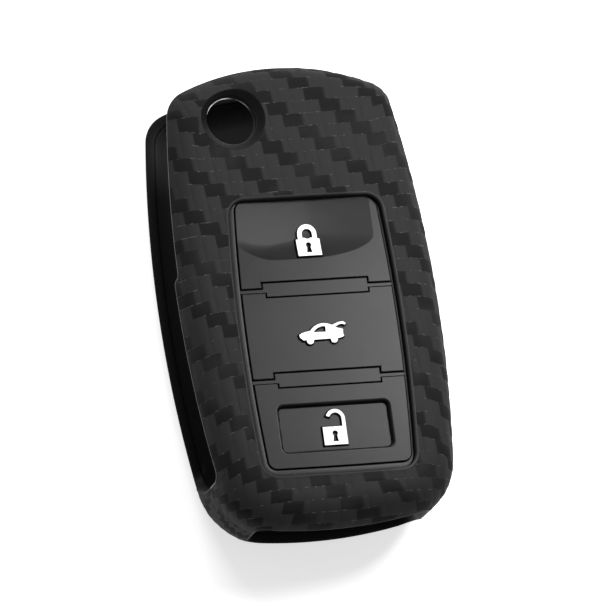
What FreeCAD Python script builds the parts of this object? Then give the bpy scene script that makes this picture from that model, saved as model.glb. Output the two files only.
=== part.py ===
import FreeCAD, Part

import math
import os

# Key fob cover: a stretchy moulded sleeve for a folding three-button car key.
# It lies on its back: +Z points out of the button side, +Y to the end with the
# release hole, +X to the right as the buttons are read. Millimetres.

# Pocket for the folding key, and the wall moulded round it
KEY_LENGTH = 67.2
KEY_WIDTH = 36.5
KEY_THICKNESS = 15.2
WALL = 1.4

# Sleeve outline seen from the front: four bowed sides and four round corners
SIDE_BOW_RADIUS = 190.0
RIGHT_FULLEST_Y = -5.0
LEFT_FULLEST_Y = 4.5
TOP_RADIUS = 36.0
TOP_CROWN_X = -0.6
BOTTOM_RADIUS = 70.0
BOTTOM_CROWN_X = -2.5
TOP_RIGHT_CORNER = 4.3
TOP_LEFT_CORNER = 5.0
BOTTOM_CORNER = 9.0
CORNER_EASE = 0.5

# Rounding of the sleeve's edges, the heel being the back edge at the key-ring end
FRONT_ROUND = 5.0
BACK_ROUND = 5.0
HEEL_ROUND = 10.5
LEAST_UPRIGHT = 1.0
ROUND_STEPS = 8

# Mouth along the left side and round the top left corner, where the blade swings out
MOUTH_FLOOR_Z = 3.6
MOUTH_LIP_DEPTH = 3.6
MOUTH_HIGH_LIP_DEPTH = 2.1
MOUTH_STEP_FROM_TOP = 31.6
MOUTH_END_FROM_BOTTOM = 9.1
MOUTH_TOP_END_X = 3.0
MOUTH_CORNER = 1.2
MOUTH_STEP_CORNER = 0.6

# Slot at the bottom for the key ring
SLOT_WIDTH = 25.0
SLOT_X = -0.5
SLOT_FLOOR_Z = 6.5
SLOT_CORNER = 2.0

# Hole over the key's blade release button
HOLE_RADIUS = 3.7
HOLE_FLARE = 1.1
HOLE_FLARE_DEPTH = 1.0
HOLE_DEPTH = 1.8
HOLE_RIM = 1.2
HOLE_X = -8.4
HOLE_FROM_TOP = 8.2

# Button panel, sunk into a window in the front
PANEL_LENGTH = 41.1
PANEL_END_WIDTH = 22.5
PANEL_BULGE = 0.85
PANEL_END_RADIUS = 900.0
PANEL_CORNER = 2.4
PANEL_X = 0.5
PANEL_FROM_BOTTOM = 7.8
PANEL_RECESS = 1.1
WINDOW_EDGE = 0.35

# Keypad frame: a rim at the left, bottom and right with two cross-bars, held by a flange behind the window
FRAME_FIT = 0.06
FRAME_RIM = 1.0
RIGHT_RIM = 0.5
TOP_RIM = 0.0
FRAME_THICKNESS = 1.1
FLANGE_WIDTH = 1.2
BAR_WIDTH = 15.6
BAR_HEIGHT = 2.1
BAR_X = 0.2
BAR_FOOT_INSET = 0.4
ARM_HEIGHT = 0.6
ARM_DROP = 0.15
UPPER_BAR_FROM_TOP = 13.35
LOWER_BAR_FROM_TOP = 26.85

# Keys, the thin webs that carry them, and the press boss under each
GROOVE = 0.28
KEY_SKIN = 0.8
TRUNK_KEY_THICKNESS = 1.5
WEB_THICKNESS = 0.3
WEB_LAND = 0.25
WEB_FIT = 0.02
BOSS_RADIUS = 2.5
BOSS_HEIGHT = 0.5

# Thumb scoop in the lock key, deepest at the key's top edge
SCOOP_WIDTH = 18.8
SCOOP_HEIGHT = 8.95
SCOOP_X = 0.5
SCOOP_DEPTH = 0.9
SCOOP_FLOOR_WIDTH = 10.4
SCOOP_CORNER = 5.5
SCOOP_STEPS = 6
SCOOP_OVERRUN = 12.0

# Sunk pocket in the unlock key
DISH_WIDTH = 16.5
DISH_HEIGHT = 6.95
DISH_X = 0.4
DISH_DROP = 0.22
DISH_DEPTH = 0.75
DISH_WALL_RUN = 0.55
DISH_CORNER = 0.9

# Raised symbols, each seated in its key
SYMBOL_RAISE = 0.6
SYMBOL_SEAT = 0.2
PADLOCK_WIDTH = 3.5
PADLOCK_BODY = 2.6
SHACKLE_RADIUS = 1.43
SHACKLE_BAR = 0.68
SHACKLE_LEG = 0.8
SHACKLE_SILL = 0.2
KEYHOLE_RADIUS = 0.4
KEYHOLE_NECK = 0.2
KEYHOLE_LENGTH = 1.2
KEYHOLE_FROM_FOOT = 1.7
LOCK_FROM_TOP = 8.65
OPEN_PADLOCK_BODY = 2.7
OPEN_SHACKLE_RADIUS = 1.43
OPEN_SHACKLE_BAR = 0.53
OPEN_SHACKLE_SWEEP = 160.0
OPEN_SHACKLE_LEG = 1.15
UNLOCK_X = 0.2
UNLOCK_FOOT_DROP = 2.53
CAR_X = 0.2
CAR_DROP = 0.2
WHEEL_RADIUS = 0.52

# Car symbol about its own middle, nose to the left and boot lid lifted
CAR_NOSE = [(-2.97, -0.97), (-3.45, -0.55), (-3.52, -0.14), (-3.1, 0.14), (-1.8, 0.41)]
CAR_ROOF_CROWN = (0.0, 1.41)
CAR_TAIL = [(1.45, 1.1), (2.28, 0.62), (3.04, 0.41), (3.0, -0.41), (3.1, -0.59), (2.9, -0.76), (2.28, -0.9)]
CAR_WHEELS = [(-2.0, -1.07), (1.59, -1.03)]
CAR_LID = [(1.66, 0.69), (1.41, 1.07), (2.48, 1.48), (3.17, 1.55), (3.59, 1.24), (3.38, 1.0), (3.1, 1.17),
           (2.69, 1.17)]
CAR_WINDOW_SILL = [(0.48, 0.14), (-1.38, 0.14)]
CAR_WINDOW_CROWN = (-0.69, 0.76)
CAR_PILLAR = (0.48, 0.97)

# Sizes that follow from those above
LENGTH = KEY_LENGTH + 2 * WALL
WIDTH = KEY_WIDTH + 2 * WALL
THICKNESS = KEY_THICKNESS + 2 * WALL
TOP_Y = LENGTH / 2
BOTTOM_Y = -LENGTH / 2
RIGHT_X = WIDTH / 2
LEFT_X = -WIDTH / 2
HEEL = min(HEEL_ROUND, THICKNESS - FRONT_ROUND - LEAST_UPRIGHT)
PANEL_BOTTOM = BOTTOM_Y + PANEL_FROM_BOTTOM
PANEL_TOP = PANEL_BOTTOM + PANEL_LENGTH
PANEL_Y = PANEL_BOTTOM + PANEL_LENGTH / 2
PANEL_HALF = PANEL_END_WIDTH / 2 + PANEL_BULGE
PANEL_SIDE_RADIUS = ((PANEL_LENGTH / 2) ** 2 + PANEL_BULGE ** 2) / (2 * PANEL_BULGE)
FRAME_TOP = THICKNESS - PANEL_RECESS
FRAME_BASE = FRAME_TOP - FRAME_THICKNESS
WALL_INSIDE = THICKNESS - WALL
HOLE_Y = TOP_Y - HOLE_FROM_TOP
UPPER_BAR_Y = PANEL_TOP - UPPER_BAR_FROM_TOP
LOWER_BAR_Y = PANEL_TOP - LOWER_BAR_FROM_TOP
UNLOCK_KEY_Y = (PANEL_BOTTOM + FRAME_RIM + LOWER_BAR_Y - BAR_HEIGHT / 2) / 2
DISH_Y = UNLOCK_KEY_Y - DISH_DROP
KEY_RIMS = (RIGHT_RIM, TOP_RIM, FRAME_RIM, FRAME_RIM)
BEYOND = 2 * LENGTH


def vec(x, y, z=0.0):
    return FreeCAD.Vector(x, y, z)


def box(x0, y0, z0, x1, y1, z1):
    return Part.makeBox(x1 - x0, y1 - y0, z1 - z0, vec(x0, y0, z0))


def prism(wire, z0, z1):
    return Part.Face(wire.translated(vec(0, 0, z0))).extrude(vec(0, 0, z1 - z0))


def polygon(points):
    return Part.makePolygon([vec(x, y) for x, y in points + points[:1]])


def round_edges(solid, radius, along):
    """Rounds the edges that run along one axis, given as a vector."""
    edges = [e for e in solid.Edges if e.tangentAt(e.FirstParameter).cross(along).Length < 1e-6]
    return solid.makeFillet(radius, edges)


# Outlines made of four bowed sides joined by round corners

def corner_centre(side_a, side_b, radius, quadrant):
    """Centre of a corner arc that lies inside two side circles and touches both."""
    (ax, ay, ar), (bx, by, br) = side_a, side_b
    ra, rb = ar - radius, br - radius
    gap = math.hypot(bx - ax, by - ay)
    along = (gap * gap + ra * ra - rb * rb) / (2 * gap)
    across = math.sqrt(ra * ra - along * along)
    ux, uy = (bx - ax) / gap, (by - ay) / gap
    meets = [(ax + along * ux - s * across * uy, ay + along * uy + s * across * ux) for s in (1, -1)]
    return max(meets, key=lambda p: p[0] * quadrant[0] + p[1] * quadrant[1])


def pushed(centre, through, radius):
    """Point at a radius from a centre, on the line through another point."""
    dx, dy = through[0] - centre[0], through[1] - centre[1]
    scale = radius / math.hypot(dx, dy)
    return centre[0] + dx * scale, centre[1] + dy * scale


def arc(centre, radius, start, end):
    middle = pushed(centre, ((start[0] + end[0]) / 2, (start[1] + end[1]) / 2), radius)
    return Part.Arc(vec(*start), vec(*middle), vec(*end)).toShape()


def outline(sides, radii, z=0.0):
    """Closed wire from the right, top, left and bottom circles (x, y, radius) and the corner
    radii at top right, top left, bottom left and bottom right."""
    quadrants = [(1, 1), (-1, 1), (-1, -1), (1, -1)]
    corners = []
    for i, radius in enumerate(radii):
        a, b = sides[i], sides[(i + 1) % 4]
        centre = corner_centre(a, b, radius, quadrants[i])
        corners.append((centre, radius, pushed(a, centre, a[2]), pushed(b, centre, b[2])))
    edges = []
    for i, (centre, radius, start, end) in enumerate(corners):
        edges.append(arc(centre, radius, start, end))
        side = sides[(i + 1) % 4]
        edges.append(arc(side[:2], side[2], end, corners[(i + 1) % 4][2]))
    return Part.Wire(edges).translated(vec(0, 0, z))


def sleeve_outline(inset, heel_inset, z):
    """The sleeve's outline at one height, moved in from its fullest size."""
    sides = [
        (RIGHT_X - SIDE_BOW_RADIUS, RIGHT_FULLEST_Y, SIDE_BOW_RADIUS - inset),
        (TOP_CROWN_X, TOP_Y - TOP_RADIUS, TOP_RADIUS - inset),
        (LEFT_X + SIDE_BOW_RADIUS, LEFT_FULLEST_Y, SIDE_BOW_RADIUS - inset),
        (BOTTOM_CROWN_X, BOTTOM_Y + BOTTOM_RADIUS, BOTTOM_RADIUS - heel_inset),
    ]
    full = [TOP_RIGHT_CORNER, TOP_LEFT_CORNER, BOTTOM_CORNER, BOTTOM_CORNER]
    return outline(sides, [r - CORNER_EASE * inset for r in full], z)


def panel_outline(grow, rims=(0.0, 0.0, 0.0, 0.0)):
    """The button panel's outline, grown outwards or, below zero, drawn in, and drawn in again by
    the rim at its right, top, left and bottom."""
    moves = [grow - rim for rim in rims]
    middles = [
        (PANEL_X + PANEL_HALF - PANEL_SIDE_RADIUS, PANEL_Y, PANEL_SIDE_RADIUS),
        (PANEL_X, PANEL_TOP - PANEL_END_RADIUS, PANEL_END_RADIUS),
        (PANEL_X - PANEL_HALF + PANEL_SIDE_RADIUS, PANEL_Y, PANEL_SIDE_RADIUS),
        (PANEL_X, PANEL_BOTTOM + PANEL_END_RADIUS, PANEL_END_RADIUS),
    ]
    sides = [(x, y, radius + move) for (x, y, radius), move in zip(middles, moves)]
    return outline(sides, [PANEL_CORNER + min(moves[i], moves[(i + 1) % 4]) for i in range(4)])


def rounded_rectangle(x, y, width, height, radius, z):
    """Closed wire about a middle point, with four quarter-round corners."""
    ends = []
    for i, (sx, sy) in enumerate([(1, 1), (-1, 1), (-1, -1), (1, -1)]):
        centre = (x + sx * (width / 2 - radius), y + sy * (height / 2 - radius))
        turns = [math.pi / 2 * i, math.pi / 2 * (i + 1)]
        start, end = [(centre[0] + radius * math.cos(t), centre[1] + radius * math.sin(t)) for t in turns]
        ends.append((centre, start, end))
    edges = []
    for i, (centre, start, end) in enumerate(ends):
        edges.append(arc(centre, radius, start, end))
        edges.append(Part.makeLine(vec(*end), vec(*ends[(i + 1) % 4][1])))
    return Part.Wire(edges).translated(vec(0, 0, z))


# Sleeve

def rounded_in(radius, rise):
    """How far a quarter-round edge stands in at a height above the face it ends on."""
    below = max(radius - rise, 0.0)
    return radius - math.sqrt(radius * radius - below * below)


def sleeve_body(off):
    """The sleeve's outer form, or the same form moved in by a wall thickness."""
    back, heel, front = BACK_ROUND - off, HEEL - off, FRONT_ROUND - off
    turns = [i * math.pi / 2 / ROUND_STEPS for i in range(ROUND_STEPS + 1)]
    tallest = max(back, heel)
    wires = []
    for turn in turns:
        rise = tallest * (1 - math.cos(turn))
        wires.append(sleeve_outline(off + rounded_in(back, rise), off + rounded_in(heel, rise), off + rise))
    for turn in reversed(turns):
        drop = front * (1 - math.cos(turn))
        inset = off + rounded_in(front, drop)
        wires.append(sleeve_outline(inset, inset, THICKNESS - off - drop))
    return Part.makeLoft(wires, True, False)


def window_cutter():
    window = prism(panel_outline(0), THICKNESS / 2, THICKNESS)
    low = panel_outline(0).translated(vec(0, 0, THICKNESS - WINDOW_EDGE))
    high = panel_outline(WINDOW_EDGE).translated(vec(0, 0, THICKNESS))
    return window.fuse(Part.makeLoft([low, high], True, True))


def hole_cutter():
    """Straight hole with a flared mouth; the flare's cone runs on past the front face."""
    middle = vec(HOLE_X, HOLE_Y, THICKNESS - HOLE_FLARE_DEPTH)
    flare = Part.makeCone(HOLE_RADIUS, HOLE_RADIUS + 2 * HOLE_FLARE, 2 * HOLE_FLARE_DEPTH, middle)
    depth = THICKNESS / 2
    return flare.fuse(Part.makeCylinder(HOLE_RADIUS, depth, vec(HOLE_X, HOLE_Y, THICKNESS - depth)))


def mouth_cutter():
    """Reach of the mouth: the left side up to a small step, then higher to the top left corner."""
    lip = THICKNESS - MOUTH_LIP_DEPTH
    high_lip = THICKNESS - MOUTH_HIGH_LIP_DEPTH
    end = BOTTOM_Y + MOUTH_END_FROM_BOTTOM
    step = TOP_Y - MOUTH_STEP_FROM_TOP
    inner = LEFT_X + FRONT_ROUND + WALL
    left = box(-BEYOND, end, MOUTH_FLOOR_Z, inner, BEYOND, lip)
    left = round_edges(left, MOUTH_CORNER, vec(1, 0, 0))
    upper = box(-BEYOND, step, (MOUTH_FLOOR_Z + lip) / 2, inner, BEYOND, high_lip)
    upper = round_edges(upper, MOUTH_STEP_CORNER, vec(1, 0, 0))
    below_top = TOP_Y - FRONT_ROUND - WALL
    top = box(-BEYOND, below_top, MOUTH_FLOOR_Z, MOUTH_TOP_END_X, BEYOND, high_lip)
    top = round_edges(top, MOUTH_CORNER, vec(0, 1, 0))
    return left.fuse(upper).fuse(top)


def slot_cutter():
    reach = BOTTOM_Y + FRONT_ROUND + WALL
    half = SLOT_WIDTH / 2
    lip = THICKNESS - MOUTH_LIP_DEPTH
    slot = box(SLOT_X - half, -BEYOND, SLOT_FLOOR_Z, SLOT_X + half, reach, lip)
    return round_edges(slot, SLOT_CORNER, vec(0, 1, 0))


def make_sleeve():
    outer = sleeve_body(0.0)
    pocket = sleeve_body(WALL)
    rim_base = vec(HOLE_X, HOLE_Y, THICKNESS - HOLE_DEPTH)
    rim = Part.makeCylinder(HOLE_RADIUS + HOLE_RIM, HOLE_DEPTH, rim_base).common(outer)
    shell = outer.cut(pocket).fuse(rim)
    for cutter in (window_cutter(), hole_cutter(), mouth_cutter(), slot_cutter()):
        shell = shell.cut(cutter)
    return shell.removeSplitter()


# Keypad frame, keys and webs

def bars(grow, z0, z1):
    """The two cross-bars, grown by a groove: a tall middle, shorter below at the left, and a thin
    arm on each side."""
    shapes = []
    wide, tall, thin = BAR_WIDTH / 2 + grow, BAR_HEIGHT / 2 + grow, ARM_HEIGHT / 2 + grow
    left, right = PANEL_X + BAR_X - wide, PANEL_X + BAR_X + wide
    for y in (UPPER_BAR_Y, LOWER_BAR_Y):
        arm_y = y - ARM_DROP
        shapes.append(box(left, arm_y, z0, right, y + tall, z1))
        shapes.append(box(left + BAR_FOOT_INSET, y - tall, z0, right, arm_y, z1))
        shapes.append(box(-BEYOND, arm_y - thin, z0, BEYOND, arm_y + thin, z1))
    return shapes


def key_blocks(grow, z0, z1):
    """Lock, trunk and unlock key outlines as blocks; with grow 0 they fill the frame's openings."""
    inside = prism(panel_outline(grow, KEY_RIMS), z0, z1)
    blocks = inside.cut(bars(-grow, z0, z1)).Solids
    return sorted(blocks, key=lambda block: -block.CenterOfMass.y)


def make_frame():
    plate = prism(panel_outline(-FRAME_FIT), FRAME_BASE, FRAME_TOP)
    flange = prism(panel_outline(FLANGE_WIDTH), FRAME_BASE, WALL_INSIDE)
    openings = key_blocks(0.0, FRAME_BASE, FRAME_TOP)
    return plate.fuse(flange).cut(openings).removeSplitter()


def make_webs():
    """A thin ring round each key, bonded to the back of the frame and to the key's side."""
    z0, z1 = FRAME_BASE - WEB_THICKNESS, FRAME_BASE
    outer = key_blocks(WEB_LAND, z0, z1)
    inner = key_blocks(WEB_FIT - GROOVE, z0, z1)
    return [a.cut(b) for a, b in zip(outer, inner)]


def scoop_cutter(lift=0.0):
    """Dish whose floor falls from the lower edge and the sides, open at the key's top edge."""
    low, top = PANEL_TOP - SCOOP_HEIGHT, PANEL_TOP + SCOOP_OVERRUN
    run = (SCOOP_WIDTH - SCOOP_FLOOR_WIDTH) / 2
    floor_radius = (run ** 2 + SCOOP_DEPTH ** 2) / (2 * SCOOP_DEPTH)
    wires = []
    for i in range(SCOOP_STEPS + 1):
        inset = run * i / SCOOP_STEPS
        depth = SCOOP_DEPTH - floor_radius + math.sqrt(floor_radius ** 2 - (run - inset) ** 2)
        width = SCOOP_WIDTH - 2 * inset
        wires.append(rounded_rectangle(
            PANEL_X + SCOOP_X, (low + inset + top) / 2, width, top - low - inset,
            SCOOP_CORNER * width / SCOOP_WIDTH, FRAME_TOP + lift - depth))
    dish = Part.makeLoft(wires, True, False)
    above = Part.Face(wires[0]).extrude(vec(0, 0, THICKNESS))
    return dish.fuse(above)


def dish_cutter():
    wires = []
    for inset, drop in ((0.0, 0.0), (DISH_WALL_RUN, DISH_DEPTH)):
        wires.append(rounded_rectangle(
            PANEL_X + DISH_X, DISH_Y, DISH_WIDTH - 2 * inset, DISH_HEIGHT - 2 * inset,
            DISH_CORNER - CORNER_EASE * inset, FRAME_TOP - drop))
    return Part.makeLoft(wires, True, True)


# Raised symbols

def disc(x, y, radius, z0, z1):
    return Part.makeCylinder(radius, z1 - z0, vec(x, y, z0))


def keyhole(x, y, z0, z1):
    """Round hole with a foot that widens downwards."""
    foot = y - KEYHOLE_LENGTH
    slot = polygon([(x - KEYHOLE_NECK, y), (x + KEYHOLE_NECK, y), (x + KEYHOLE_RADIUS, foot),
                    (x - KEYHOLE_RADIUS, foot)])
    return [disc(x, y, KEYHOLE_RADIUS, z0, z1), prism(slot, z0, z1)]


def closed_padlock(z0, z1):
    x, foot = PANEL_X, PANEL_TOP - LOCK_FROM_TOP
    top = foot + PADLOCK_BODY
    spring = top + SHACKLE_LEG
    inner = SHACKLE_RADIUS - SHACKLE_BAR
    body = box(x - PADLOCK_WIDTH / 2, foot, z0, x + PADLOCK_WIDTH / 2, top, z1)
    legs = box(x - SHACKLE_RADIUS, foot, z0, x + SHACKLE_RADIUS, spring, z1)
    gaps = [box(x - inner, top + SHACKLE_SILL, z0, x + inner, spring, z1), disc(x, spring, inner, z0, z1)]
    gaps += keyhole(x, foot + KEYHOLE_FROM_FOOT, z0, z1)
    return body.fuse([legs, disc(x, spring, SHACKLE_RADIUS, z0, z1)]).cut(gaps).removeSplitter()


def open_padlock(z0, z1):
    """The shackle stands on its right leg only and ends free at the left."""
    x, foot = PANEL_X + UNLOCK_X, DISH_Y - UNLOCK_FOOT_DROP
    top = foot + OPEN_PADLOCK_BODY
    hook_x = x + PADLOCK_WIDTH / 2 - OPEN_SHACKLE_RADIUS
    spring = top + OPEN_SHACKLE_LEG
    inner = OPEN_SHACKLE_RADIUS - OPEN_SHACKLE_BAR
    far = 2 * OPEN_SHACKLE_RADIUS
    end = math.radians(OPEN_SHACKLE_SWEEP)
    below = polygon([(hook_x, spring), (hook_x + far * math.cos(end), spring + far * math.sin(end)),
                     (hook_x - far, spring - far), (hook_x + far, spring - far), (hook_x + far, spring)])
    hook = disc(hook_x, spring, OPEN_SHACKLE_RADIUS, z0, z1).cut(
        [disc(hook_x, spring, inner, z0, z1), prism(below, z0, z1)])
    leg = box(hook_x + inner, foot, z0, hook_x + OPEN_SHACKLE_RADIUS, spring, z1)
    body = box(x - PADLOCK_WIDTH / 2, foot, z0, x + PADLOCK_WIDTH / 2, top, z1)
    gaps = keyhole(x, foot + KEYHOLE_FROM_FOOT, z0, z1)
    return body.fuse([leg, hook]).cut(gaps).removeSplitter()


def open_car(z0, z1):
    """Side view of a car: body with an arched roof, two wheels, the lifted lid and a side window."""
    x, y = PANEL_X + CAR_X, (UPPER_BAR_Y + LOWER_BAR_Y) / 2 - CAR_DROP

    def at(point):
        return vec(x + point[0], y + point[1])

    def closed(points, crown, spring):
        """Straight runs through the points, closed by an arc from the last to the first."""
        ends = [at(p) for p in points]
        runs = [Part.makeLine(a, b) for a, b in zip(ends, ends[1:])]
        return Part.Wire(runs + [Part.Arc(ends[-1], at(crown), at(spring)).toShape()])

    body = prism(closed(CAR_TAIL + CAR_NOSE, CAR_ROOF_CROWN, CAR_TAIL[0]), z0, z1)
    lid = prism(Part.makePolygon([at(p) for p in CAR_LID + CAR_LID[:1]]), z0, z1)
    wheels = [disc(at(p).x, at(p).y, WHEEL_RADIUS, z0, z1) for p in CAR_WHEELS]
    window = prism(closed([CAR_PILLAR] + CAR_WINDOW_SILL, CAR_WINDOW_CROWN, CAR_PILLAR), z0, z1)
    return body.fuse(wheels + [lid]).cut(window).removeSplitter()


# Keys with their symbols

def make_keys():
    """Returns the three keys and the three symbols, from the top of the panel down."""
    flat_seat = FRAME_TOP - SYMBOL_SEAT
    dish_floor = FRAME_TOP - DISH_DEPTH
    tall = FRAME_TOP + SYMBOL_RAISE
    lock_symbol = closed_padlock(flat_seat - SCOOP_DEPTH, tall).cut(scoop_cutter(SYMBOL_RAISE))
    symbols = [lock_symbol, open_car(flat_seat, tall),
               open_padlock(dish_floor - SYMBOL_SEAT, dish_floor + SYMBOL_RAISE)]
    thicknesses = [SCOOP_DEPTH + KEY_SKIN, TRUNK_KEY_THICKNESS, DISH_DEPTH + KEY_SKIN]
    hollows = [[scoop_cutter()], [], [dish_cutter()]]
    keys = []
    for i, thickness in enumerate(thicknesses):
        base = FRAME_TOP - thickness
        key = key_blocks(-GROOVE, base, FRAME_TOP)[i]
        middle = key.CenterOfMass
        boss = disc(PANEL_X, middle.y, BOSS_RADIUS, base - BOSS_HEIGHT, base)
        keys.append(key.fuse(boss).cut(hollows[i] + [symbols[i]]).removeSplitter())
    return keys, symbols


def main():
    os.makedirs("parts", exist_ok=True)
    keys, symbols = make_keys()
    nodes = {"sleeve": make_sleeve(), "keypad_frame": make_frame()}
    for name, key, web, symbol in zip(("lock", "trunk", "unlock"), keys, make_webs(), symbols):
        nodes[name + "_key"] = key
        nodes[name + "_web"] = web
        nodes[name + "_symbol"] = symbol
    for name, shape in nodes.items():
        solids = shape.Solids
        size = shape.BoundBox
        print(f"{name:14s} solids {len(solids)} valid {shape.isValid()} volume {shape.Volume:9.2f} "
              f"x {size.XMin:7.2f} {size.XMax:7.2f} y {size.YMin:7.2f} {size.YMax:7.2f} "
              f"z {size.ZMin:6.2f} {size.ZMax:6.2f}")
        shape.exportStep(f"parts/{name}.step")


main()
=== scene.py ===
import bmesh
import bpy
import numpy as np
from mathutils import Matrix, Vector


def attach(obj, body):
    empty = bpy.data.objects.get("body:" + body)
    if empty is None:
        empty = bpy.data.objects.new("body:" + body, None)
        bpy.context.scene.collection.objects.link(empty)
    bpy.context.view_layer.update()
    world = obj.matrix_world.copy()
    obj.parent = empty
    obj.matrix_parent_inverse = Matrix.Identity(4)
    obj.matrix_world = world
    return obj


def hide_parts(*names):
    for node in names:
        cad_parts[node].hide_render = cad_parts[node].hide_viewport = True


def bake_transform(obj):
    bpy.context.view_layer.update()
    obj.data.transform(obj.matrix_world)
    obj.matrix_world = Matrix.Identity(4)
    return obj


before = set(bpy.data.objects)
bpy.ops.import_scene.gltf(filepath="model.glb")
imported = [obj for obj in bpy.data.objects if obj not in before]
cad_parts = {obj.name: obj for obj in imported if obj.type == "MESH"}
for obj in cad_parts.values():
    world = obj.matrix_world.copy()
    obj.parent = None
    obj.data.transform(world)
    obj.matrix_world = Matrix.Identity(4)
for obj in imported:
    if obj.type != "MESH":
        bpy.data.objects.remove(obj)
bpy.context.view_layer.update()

# Sleeve: one soft moulding of matt black silicone, 1.4 mm thick, with a carbon twill pressed into its
# outside. It stretches over the key, and is open along the left side and round the top left corner, where
# the blade swings out, at the bottom for the key ring, and over the blade's release button.
# Lengths here and in the later sections are in millimetres until they go into a mesh.
MM = 0.001
MERGE_DISTANCE = 0.001
WALL = 1.4
THICKNESS = 18.0
FRONT_ROUND = 5.0
BACK_ROUND = 5.0
HEEL_ROUND = 9.0
SLEEVE_SIDES = [(-170.35, -5.0, 190.0), (-0.6, -1.0, 36.0), (170.35, 4.5, 190.0), (-2.5, 35.0, 70.0)]
SLEEVE_CORNERS = [4.3, 5.0, 9.0, 9.0]
CORNER_EASE = 0.5
SEAM_Z = 10.7
LIP_ROUND = 0.25
LIP_Z, HIGH_LIP_Z = 14.4, 15.3
MOUTH_FLOOR_Z, SLOT_FLOOR_Z = 3.6, 5.0
MOUTH_CORNER, STEP_CORNER, SLOT_CORNER = 1.2, 0.6, 2.0
MOUTH_TOP_X, MOUTH_STEP_Y, MOUTH_LOW_Y = 3.0, 3.4, -26.4
SLOT_LEFT_X, SLOT_RIGHT_X = -11.9, 14.0
HOLE_X, HOLE_Y = -8.4, 26.3
HOLE_RADIUS, HOLE_FLARE, HOLE_FLARE_Z = 3.7, 1.1, 17.0
COLLAR_RADIUS, COLLAR_FIT, COLLAR_BASE_Z = 4.2, 0.04, 16.0
FLASH_WIDTH, FLASH_DEPTH = 0.13, 0.06
HOLE_RINGS, HOLE_CLEARING, HOLE_EVENNESS = 14, 0.5, 0.1
UNDER_RINGS, UNDER_CLEARING, BORE_JOIN_Z = 2, 0.15, 16.8
WINDOW_EDGE = 0.35
WINDOW_FAN = [0, 2, 3, 4, 4.2, 4.35, 5, 8], [0, 2, 2.5, 2.8, 3, 4, 5, 8]
PANEL_X, PANEL_LOW_Y, PANEL_TOP_Y = 0.5, -27.2, 13.9
PANEL_HALF, PANEL_BULGE, PANEL_CORNER, PANEL_END_RADIUS = 12.1, 0.85, 2.4, 900.0
ARC_CELLS = [120, 24, 52, 24, 120, 24, 52, 24]
RING_ROWS, FLANK_ROWS, BACK_ROWS = 46, 26, 28
UPRIGHT_SHARE, STEP_SHARE = 7.0, 3.0
FRONT_SLIDE_RUN, BACK_SLIDE_Z = 4.2, 3.2
INNER_RING_ROWS, INNER_ROWS = 12, 8


def arcs_of(sides, corners):
    """Eight arcs (x, y, radius, start, end) of a closed line: the right, top, left and bottom side, each
    followed by its corner. A corner's middle lies where its two side circles, each smaller by the corner's
    radius, cross, and an arc changes over where the line through both middles meets it."""
    quarter = np.pi / 2
    middles, leaves, meets = [], [], []
    for i, radius in enumerate(corners):
        (ax, ay, ar), (bx, by, br) = sides[i], sides[(i + 1) % 4]
        ra, rb = ar - radius, br - radius
        gap = np.hypot(bx - ax, by - ay)
        along = (gap ** 2 + ra ** 2 - rb ** 2) / (2 * gap)
        across = np.sqrt(ra ** 2 - along ** 2)
        ux, uy = (bx - ax) / gap, (by - ay) / gap
        x, y = ax + along * ux - across * uy, ay + along * uy + across * ux
        middles.append((x, y))
        turn = np.arctan2(y - ay, x - ax) - i * quarter
        leaves.append(i * quarter + (turn + np.pi) % (2 * np.pi) - np.pi)
        turn = np.arctan2(y - by, x - bx) - (i + 1) * quarter
        meets.append((i + 1) * quarter + (turn + np.pi) % (2 * np.pi) - np.pi)
    arcs = []
    for i, (x, y, radius) in enumerate(sides):
        start = meets[i - 1] - (2 * np.pi if i == 0 else 0)
        arcs.append((x, y, radius, start, leaves[i]))
        arcs.append((*middles[i], corners[i], leaves[i], meets[i]))
    return arcs


def on_line(u, arcs):
    """Points (x, y) and outward angle on such a line; u runs from 0 to 8, one unit to each arc."""
    u = np.mod(u, 8)
    shape = np.broadcast(u, arcs[0][2], arcs[0][3]).shape
    x, y, turn = np.zeros(shape), np.zeros(shape), np.zeros(shape)
    for i, (cx, cy, radius, start, end) in enumerate(arcs):
        angle = start + (end - start) * (u - i)
        here = np.floor(u) == i
        x = np.where(here, cx + radius * np.cos(angle), x)
        y = np.where(here, cy + radius * np.sin(angle), y)
        turn = np.where(here, angle, turn)
    return x, y, turn


def stacked(*parts):
    """Coordinates broadcast against each other and put together as points."""
    return np.stack(np.broadcast_arrays(*parts), -1)


def line_points(u, arcs):
    """Points (x, y) on such a line."""
    return np.stack(on_line(u, arcs)[:2], -1)


def sleeve_arcs(inset, heel):
    """The sleeve's outline moved in, at the bottom end by the heel's own amount."""
    insets = [inset, inset, inset, heel]
    sides = [(x, y, radius - move) for (x, y, radius), move in zip(SLEEVE_SIDES, insets)]
    return arcs_of(sides, [radius - CORNER_EASE * inset for radius in SLEEVE_CORNERS])


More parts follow.
